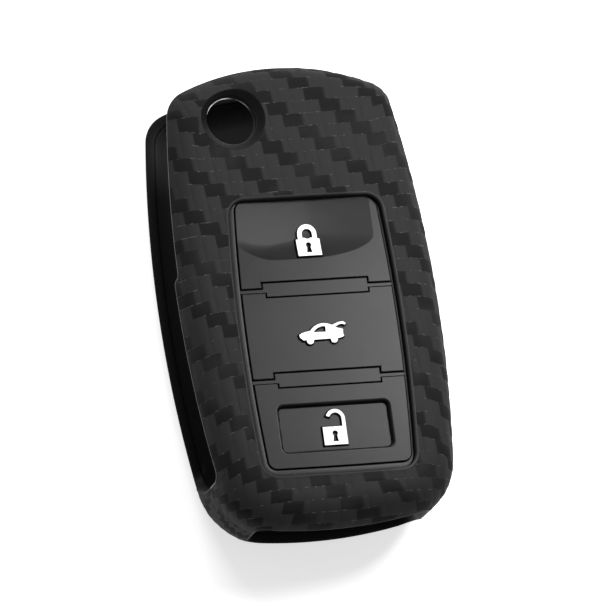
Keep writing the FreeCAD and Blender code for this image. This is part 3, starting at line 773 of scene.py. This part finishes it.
def frame_rim():
    """Rim and flange as one closed section carried round the panel: from the opening out behind the flange,
    up it, in under the sleeve's front, then up and over the rim, which runs out where the key reaches the
    window's edge. Its upper edges are quarter rounds."""
    u = np.concatenate([i + np.arange(n) / n for i, n in enumerate(FRAME_CELLS)])
    x, y, turn = on_line(u, panel_arcs(-FRAME_FIT))
    outward = np.stack([np.cos(turn), np.sin(turn)], -1)
    opening = line_points(u, panel_arcs(0.0, KEY_RIMS))
    flange = line_points(u, panel_arcs(FLANGE_WIDTH))
    outer = np.stack([x, y], -1)
    width = np.sum((outer - opening) * outward, -1, keepdims=True)
    width = np.where(width < LEAST_RIM, 0, width)
    outer = opening + width * outward
    share = np.clip(width / (RIM_FADE * FRAME_EDGE), 0, 1)
    edge = FRAME_EDGE * share
    seat = THICKNESS - WALL
    top = seat + (FRAME_TOP_Z - seat) * share ** 2 * (3 - 2 * share)
    rows = [(opening, FRAME_BASE_Z), (flange, FRAME_BASE_Z), (flange, seat), (outer, seat)]
    for t in np.linspace(0, np.pi / 2, 5):
        rows.append((outer - edge * (1 - np.cos(t)) * outward, top - edge * (1 - np.sin(t))))
    for t in np.linspace(0, np.pi / 2, 5):
        rows.append((opening + edge * (1 - np.sin(t)) * outward, top - edge * (1 - np.cos(t))))
    rows.append(rows[0])
    points = np.stack([np.concatenate([place, np.broadcast_to(z, (len(u), 1))], -1) for place, z in rows])
    return gridded(points, flip=True)


def spread(count, stops, clear):
    """Shares from 0 to 1: evenly spaced, with a close pair at each stop and none near a stop or an end."""
    stops = np.asarray(stops, float)
    even = np.linspace(0, 1, count + 1)[1:-1]
    far = np.min(abs(even[:, None] - np.concatenate([[0, 1], stops])), axis=1) > clear
    return np.sort(np.concatenate([[0, 1], even[far], stops - STEP_GAP / 2, stops + STEP_GAP / 2]))


def round_loop(low, right, top, left):
    """Four edges, low and top running left to right and the others upwards, as one loop."""
    return np.concatenate([low[:-1], right[:-1], top[:0:-1], left[:0:-1]])


def plate(edges, across, up, height, base, rounding):
    """Plate between four edges: upright sides, a rounded upper edge and a top at height(x, y). The outline
    is moved in along its mitres, by a rounding for each edge, and each face is a patch between edges."""
    rounding = np.concatenate([np.full(len(edge) - 1, size) for edge, size in zip(edges, rounding)])
    loop = round_loop(*edges)
    ahead = np.roll(loop, -1, axis=0) - loop
    ahead /= np.linalg.norm(ahead, axis=1, keepdims=True)
    inward = np.stack([-ahead[:, 1], ahead[:, 0]], -1)
    before = np.roll(inward, 1, axis=0)
    mitre = (inward + before) / (1 + np.sum(inward * before, axis=1, keepdims=True))

    def row(inset, drop):
        place = loop + (inset * rounding)[:, None] * mitre
        return np.column_stack([place, height(*place.T) - drop * rounding])

    rows = [np.column_stack([loop, np.full(len(loop), base)])]
    rows += [row(1 - np.cos(t), 1 - np.sin(t)) for t in np.linspace(0, np.pi / 2, 5)]
    sides = np.stack(rows)

    def face(ring):
        ring = np.concatenate([ring, ring[:1]])
        ends = np.cumsum([0] + [len(share) - 1 for share in (across, up, across, up)])
        parts = [ring[a:b + 1] for a, b in zip(ends, ends[1:])]
        return coons(parts[0], parts[1], parts[2][::-1], parts[3][::-1], across, up, EDGE_FADE)

    upper, under = face(sides[-1]), face(sides[0])
    inner = upper[1:-1, 1:-1]
    inner[..., 2] = height(inner[..., 0], inner[..., 1])
    return [gridded(sides, flip=True), gridded(upper, closed=False, flip=True, smooth=False),
            gridded(under, closed=False, smooth=False)]


def joined(surfaces):
    """Points, faces and which faces are shaded smooth, of several surfaces as one mesh."""
    starts = np.cumsum([0] + [points.size // 3 for points, _, _ in surfaces])
    points = np.concatenate([points.reshape(-1, 3) for points, _, _ in surfaces])
    faces = [face for (_, faces, _), start in zip(surfaces, starts) for face in (faces + start).tolist()]
    return points, faces, np.concatenate([np.full(len(faces), smooth) for _, faces, smooth in surfaces])


def bar_edge(y, above, groove, slit, side_move, lean):
    """One edge of a cross-bar, as the edge of what lies above or below it: its ends, the heights of the
    arms and of the bar, and the bar's ends with the shares that they stand at. A groove parts it from its
    neighbour, and below the arms only a slit. Away from the edge the lines lean outwards by the lean, so
    that those on both sides of a step don't cross."""
    foot = 0 if above else BAR_FOOT_INSET
    bar_ends = np.array([foot - BAR_HALF, BAR_HALF]) + BAR_X
    sides = [panel_side(arc, KEY_RIMS, y) for arc in (4, 0)]
    shares = (PANEL_X + bar_ends + [-lean, lean] - sides[0]) / (sides[1] - sides[0])
    arm_y, bar_y = (y - ARM_DROP + ARM_RISE + groove, y + BAR_RISE + groove) if above else \
        (y - ARM_DROP - ARM_RISE - slit, y - BAR_RISE - groove)
    ends = [panel_side(arc, side_move, arm_y) for arc in (4, 0)]
    return ends, arm_y, bar_y, PANEL_X + bar_ends + [-groove, groove], shares


def panel_side(arc, moves, y):
    """How far out the panel's right or left side, drawn in by its rim, stands at a height up the panel."""
    cx, cy, radius, _, _ = panel_arcs(0.0, moves)[arc]
    return cx + (1 if arc == 0 else -1) * np.sqrt(radius ** 2 - (y - cy) ** 2)


def edge_points(edge, across):
    """A cross-bar's edge at the shares across: along an arm, the bar and an arm again."""
    (x0, x1), arm_y, bar_y, bar_ends, shares = edge
    x = np.interp(across, [0, *shares, 1], [x0, *bar_ends, x1])
    return np.stack([x, np.where((across > shares[0]) & (across < shares[1]), bar_y, arm_y)], -1)


frame_surfaces = [frame_rim()]
arm_moves = [rim - ARM_TUCK for rim in KEY_RIMS]
for y in BAR_YS:
    low, top = (bar_edge(y, above, 0.0, 0.0, arm_moves, -STEP_LEAN) for above in (False, True))
    across = spread(BAR_CELLS[0], np.union1d(low[-1], top[-1]), BAR_CLEAR * BAR_EDGE / (2 * BAR_HALF))
    up = spread(BAR_CELLS[1], [], 0.0)
    low, top = edge_points(low, across), edge_points(top, across)
    left, right = (low[i] + (top[i] - low[i]) * up[:, None] for i in (0, -1))
    frame_surfaces += plate((low, right, top, left), across, up,
                            lambda x, y: np.full(x.shape, FRAME_TOP_Z - BAR_SINK), FRAME_BASE_Z,
                            [BAR_EDGE] * 4)
satin = satin_silicone()
keypad_frame = put_mesh("moulded_keypad_frame", *joined(frame_surfaces), [satin])
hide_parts("keypad_frame")
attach(keypad_frame, "sleeve")

# Keys: three plates of the same satin silicone in the frame's openings. A fine groove parts each from the
# frame at its left and bottom, and a slit at its right and top. The lock key has a thumb scoop and the
# unlock key a sunk dish, and a boss under each presses the button of the car key inside.
GROOVE, SLIT = 0.17, 0.02
KEY_EDGE, KEY_CLEAR = 0.1, 1.5
BOSS_RADIUS, BOSS_EDGE, BOSS_OVERLAP, BOSS_LEVEL = 2.5, 0.15, 0.1, 0.01
SCOOP_RIGHT_X, SCOOP_LOW_Y, SCOOP_DEPTH, SCOOP_RUN = 10.4, 4.95, 0.55, 3.0
SCOOP_CORNER, SCOOP_SIDE_STRETCH, SCOOP_POWER = 3.2, 3.2, 1.6
SCOOP_LEFT_X, SCOOP_DEEP_X, SCOOP_LEAST = -11.2, 1.5, 0.01
SCOOP_LIFT_X, SCOOP_LIFT = -4.5, 0.08
DISH_X, DISH_Y, DISH_WIDTH, DISH_HEIGHT = 0.9, -20.2, 17.1, 7.5
DISH_DEPTH, DISH_EDGE, DISH_WALL_RUN, DISH_CORNER = 0.75, 0.4, 0.1, 1.1
KEY_CELLS = (220, 130)


def key_edges(name, groove, slit, cells):
    """The four edges of a key's outline and the shares that its lines stand at: cut by the cross-bars where
    it meets them and following the panel's outline elsewhere, half of a round corner going to each side."""
    right_rim, top_rim, left_rim, low_rim = KEY_RIMS
    moves = (right_rim + slit, top_rim + slit, left_rim + groove, low_rim + groove)
    arcs = panel_arcs(0.0, moves)
    upper_bar, lower_bar = BAR_YS
    gaps = groove, slit, moves, STEP_LEAN
    low = None if name == "unlock" else bar_edge(upper_bar if name == "lock" else lower_bar, True, *gaps)
    top = None if name == "lock" else bar_edge(upper_bar if name == "trunk" else lower_bar, False, *gaps)
    stops = np.unique(np.concatenate([edge[-1] for edge in (low, top) if edge]))
    across = spread(cells[0], stops, KEY_CLEAR * KEY_EDGE / (2 * PANEL_HALF))
    up = spread(cells[1], [], KEY_CLEAR * KEY_EDGE / abs(lower_bar - upper_bar))

    def side_u(arc, edge):
        u = np.linspace(arc, arc + 1, 400)[:-1]
        height = on_line(u, arcs)[1]
        order = np.argsort(height)
        return np.interp(edge[1], height[order], u[order])

    def along_panel(start, end, shares):
        line = line_points(np.linspace(start, end, 4000), arcs)
        length = along_length(line) / along_length(line)[-1]
        return np.stack([np.interp(shares, length, line[:, i]) for i in range(2)], -1)

    right_u = (side_u(0, low) if low else -0.5, side_u(0, top) if top else 1.5)
    left_u = (side_u(4, low) if low else 5.5, side_u(4, top) if top else 3.5)
    edges = (edge_points(low, across) if low else along_panel(5.5, 7.5, across), along_panel(*right_u, up),
             edge_points(top, across) if top else along_panel(3.5, 1.5, across), along_panel(*left_u, up))
    return edges, across, up


def inside_by(x, y, half_width, half_height, corner):
    """Distance inside a rounded rectangle about the origin, below zero outside it."""
    out_x, out_y = abs(x) - half_width + corner, abs(y) - half_height + corner
    out = np.hypot(np.clip(out_x, 0, None), np.clip(out_y, 0, None))
    return corner - out - np.minimum(np.maximum(out_x, out_y), 0)


def scooped(x, y):
    """Drop of the thumb scoop: outlines nested in its low and right edge, with the corner between them, lie
    on a power curve that ends level on the floor, and the outline through a place is halved down to. To
    the left the low edge lifts, the floor comes up along a sine and the wall gets shorter."""
    low_y = SCOOP_LOW_Y + SCOOP_LIFT * np.clip(SCOOP_LIFT_X - x, 0, None) ** 2
    far = 10 * SCOOP_RUN
    low, high = np.zeros(x.shape), np.full(x.shape, SCOOP_RUN)
    for _ in range(24):
        inset = (low + high) / 2
        room = inside_by((x - SCOOP_RIGHT_X) / SCOOP_SIDE_STRETCH + far, y - low_y - far, far - inset,
                         far - inset, SCOOP_CORNER * (1 - inset / (2 * SCOOP_RUN)))
        low, high = np.where(room > 0, inset, low), np.where(room > 0, high, inset)
    share = np.clip((x - SCOOP_LEFT_X) / (SCOOP_DEEP_X - SCOOP_LEFT_X), 0, 1)
    deep = np.maximum(np.sin(np.pi / 2 * share), SCOOP_LEAST)
    return SCOOP_DEPTH * deep * (1 - np.clip(1 - low / (SCOOP_RUN * np.sqrt(deep)), 0, 1) ** SCOOP_POWER)


def dished(x, y):
    """Drop of the sunk dish: over a quarter round at its edge, then down an almost upright wall."""
    inside = inside_by(x - DISH_X, y - DISH_Y, DISH_WIDTH / 2, DISH_HEIGHT / 2, DISH_CORNER)
    rounded = DISH_EDGE - np.sqrt(DISH_EDGE ** 2 - np.clip(inside, 0, DISH_EDGE) ** 2)
    return rounded + (DISH_DEPTH - DISH_EDGE) * np.clip((inside - DISH_EDGE) / DISH_WALL_RUN, 0, 1)


def boss(x, y, top, base):
    """Round boss: a profile of radius and height turned about an upright axis, closed at its centre."""
    turn = np.linspace(0, 2 * np.pi, 49)[:-1]
    edge = np.linspace(0, np.pi / 2, 4)
    radii = np.concatenate([[0, BOSS_RADIUS], BOSS_RADIUS - BOSS_EDGE * (1 - np.cos(edge)), [0]])[:, None]
    z = np.concatenate([[top, top], base + BOSS_EDGE * (1 - np.sin(edge)), [base]])[:, None]
    points = stacked(x + radii * np.cos(turn), y + radii * np.sin(turn), z)
    return gridded(points)


KEY_DROPS = {"lock": scooped, "trunk": lambda x, y: np.zeros(x.shape), "unlock": dished}
KEY_THICKNESSES = {"lock": 1.7, "trunk": 1.5, "unlock": 1.55}
for name, drop in KEY_DROPS.items():
    base = FRAME_TOP_Z - KEY_THICKNESSES[name]
    surfaces = plate(*key_edges(name, GROOVE, SLIT, KEY_CELLS), lambda x, y: FRAME_TOP_Z - drop(x, y), base,
                     [KEY_EDGE, SHARP_EDGE, SHARP_EDGE, KEY_EDGE])
    cad_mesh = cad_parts[name + "_key"].data
    cad_key = np.zeros((len(cad_mesh.vertices), 3))
    cad_mesh.vertices.foreach_get("co", cad_key.ravel())
    cad_key /= MM
    boss_base = cad_key[:, 2].min()
    boss_y = cad_key[cad_key[:, 2] < boss_base + BOSS_LEVEL, 1].mean()
    surfaces.append(boss(PANEL_X, boss_y, base + BOSS_OVERLAP, boss_base))
    key = put_mesh(f"moulded_{name}_key", *joined(surfaces), [satin])
    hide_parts(name + "_key")
    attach(key, name + "_key")

# Webs: a thin skin of silicone round each key, bonded to the back of the frame and to the key's side. It
# stretches as the key goes down and brings it back.
WEB_LAND, WEB_FIT, WEB_SKIN, WEB_DROP = 0.25, 0.02, 0.06, 0.24
WEB_CELLS = (90, 50)
for name in KEY_DROPS:
    rings = [round_loop(*key_edges(name, *moves, WEB_CELLS)[0])
             for moves in ((-WEB_LAND, -WEB_LAND), (GROOVE - WEB_FIT, SLIT - WEB_FIT))]
    section = [(0, 0.0), (0, WEB_SKIN), (1, WEB_DROP + WEB_SKIN), (1, WEB_DROP), (0, 0.0)]
    points = np.stack([np.column_stack([rings[i], np.full(len(rings[i]), FRAME_BASE_Z - drop)])
                       for i, drop in section])
    web = put_mesh(f"moulded_{name}_web", *joined([gridded(points)]), [satin])
    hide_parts(name + "_web")
    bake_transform(web)

# Symbols: a closed padlock, a car with its boot open and an open padlock, raised from the keys. Their tops
# are printed white, and their sides slope out a little to the key as they leave the mould.
SYMBOL_DRAFT, SYMBOL_EDGE, SYMBOL_EDGE_ANGLE, SYMBOL_FLAT_ANGLE = 0.22, 0.03, 40, 0.5
SYMBOL_SEAT, SYMBOL_RAISE, SYMBOL_FOOT = 0.05, 0.45, 0.05


def print_white():
    """White ink on the symbols' tops, a little uneven."""
    finish = Finish("print_white")
    grain = finish.noise(4000.0, 2.0)
    colour = finish.coloured(grain.rise(0.3, 0.7), grey(0.85), grey(0.93))
    return finish.surface(Base_Color=colour, Roughness=0.5 + (grain - 0.5) * 0.1)


white = print_white()
# The symbols' walls are painted near black, darker than the keys' silicone: partly their own black
# silicone, partly painted shade.
wall_black = plain_silicone("symbol_wall", 0.0015, 0.0025, 0.7, 0.1)
for name, drop in KEY_DROPS.items():
    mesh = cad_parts[name + "_symbol"].data.copy()
    mesh.name = f"printed_{name}_symbol"
    mesh.materials.clear()
    mesh.materials.append(white)
    mesh.materials.append(wall_black)
    merge(mesh, np.radians(SYMBOL_FLAT_ANGLE))

    # White on top and black on the walls; each foot moves out along the mitre of its two walls
    places, facing = np.zeros((len(mesh.vertices), 3)), np.zeros((len(mesh.polygons), 3))
    corners, sizes = np.zeros(len(mesh.loops), int), np.zeros(len(mesh.polygons), int)
    mesh.vertices.foreach_get("co", places.ravel())
    mesh.polygons.foreach_get("normal", facing.ravel())
    mesh.polygons.foreach_get("loop_total", sizes)
    mesh.loops.foreach_get("vertex_index", corners)
    wall = abs(facing[:, 2]) < 0.5
    mesh.polygons.foreach_set("material_index", np.where(facing[:, 2] > 0.5, 0, 1))
    mitres = np.zeros_like(places)
    np.add.at(mitres, corners, np.repeat(facing * wall[:, None], sizes, axis=0))
    mitres *= 2 / np.clip(np.sum(mitres ** 2, axis=1, keepdims=True), 1e-6, None)
    foot = places[:, 2] < places[:, 2].min() + SYMBOL_FOOT * MM
    places += np.where(foot, SYMBOL_DRAFT * MM, 0)[:, None] * mitres
    surface = FRAME_TOP_Z - drop(*places[:, :2].T / MM)
    places[:, 2] = (surface + np.where(foot, -SYMBOL_SEAT, SYMBOL_RAISE)) * MM
    mesh.vertices.foreach_set("co", places.ravel())
    mesh.update()
    symbol = put(mesh.name, mesh)
    edge = symbol.modifiers.new("edge", "BEVEL")
    edge.width = SYMBOL_EDGE * MM
    edge.segments = 2
    edge.limit_method = "ANGLE"
    edge.angle_limit = np.radians(SYMBOL_EDGE_ANGLE)
    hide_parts(name + "_symbol")
    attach(symbol, name + "_key")

# Studio: a pale floor under the part, a small soft box at the right for the panel's sheen, a large one at
# the top, a weak even light from all round, and a camera at the photograph's angle.
RIGHT = Vector((0.9613, -0.1317, 0.243))
UP = Vector((0.0579, 0.9550, 0.289))
TOWARDS = RIGHT.cross(UP)
PANEL_MIDDLE = Vector((0.5, -6.65, 16.9)) * MM
AIM = PANEL_MIDDLE + RIGHT * (-2.51 * MM) + UP * (4.56 * MM)
DISTANCE = 1.0
VIEW_WIDTH = 86.97 * MM

floor_mesh = bpy.data.meshes.new("floor")
floor_mesh.from_pydata([(-3, -3, 0), (3, -3, 0), (3, 3, 0), (-3, 3, 0)], [], [(0, 1, 2, 3)])
floor = put("floor", floor_mesh)
highlight_share = Finish("pale_floor")
floor_mesh.materials.append(highlight_share.surface(Base_Color=grey(0.85, 1.0), Roughness=0.6,
                                         Emission_Color=grey(1.0, 1.0), Emission_Strength=0.62))

camera_data = bpy.data.cameras.new("camera")
camera_data.lens = camera_data.sensor_width * DISTANCE / VIEW_WIDTH
camera_data.clip_end = 20.0
camera = put("camera", camera_data)
turn = Matrix((RIGHT, UP, TOWARDS)).transposed().to_4x4()
camera.matrix_world = Matrix.Translation(AIM + TOWARDS * DISTANCE) @ turn
bpy.context.scene.camera = camera


def soft_box(name, direction, distance, size, power):
    """Square area light that faces the part from a direction."""
    data = bpy.data.lights.new(name, "AREA")
    data.shape = "SQUARE"
    data.size = size
    data.energy = power
    lamp = put(name, data)
    away = Vector(direction).normalized()
    facing = away.to_track_quat("Z", "Y").to_matrix().to_4x4()
    lamp.matrix_world = Matrix.Translation(away * distance) @ facing


soft_box("key_light", (0.42, 0.17, 0.89), 0.148, 0.05, 0.205)
soft_box("fill_light", (-0.20, 0.75, 0.63), 0.5, 0.3, 1.9)
world = bpy.data.worlds.new("studio")
world.use_nodes = True
world.node_tree.nodes["Background"].inputs["Color"].default_value = (1, 1, 1, 1)
world.node_tree.nodes["Background"].inputs["Strength"].default_value = 0.24
bpy.context.scene.world = world
bpy.context.scene.view_settings.view_transform = "Standard"
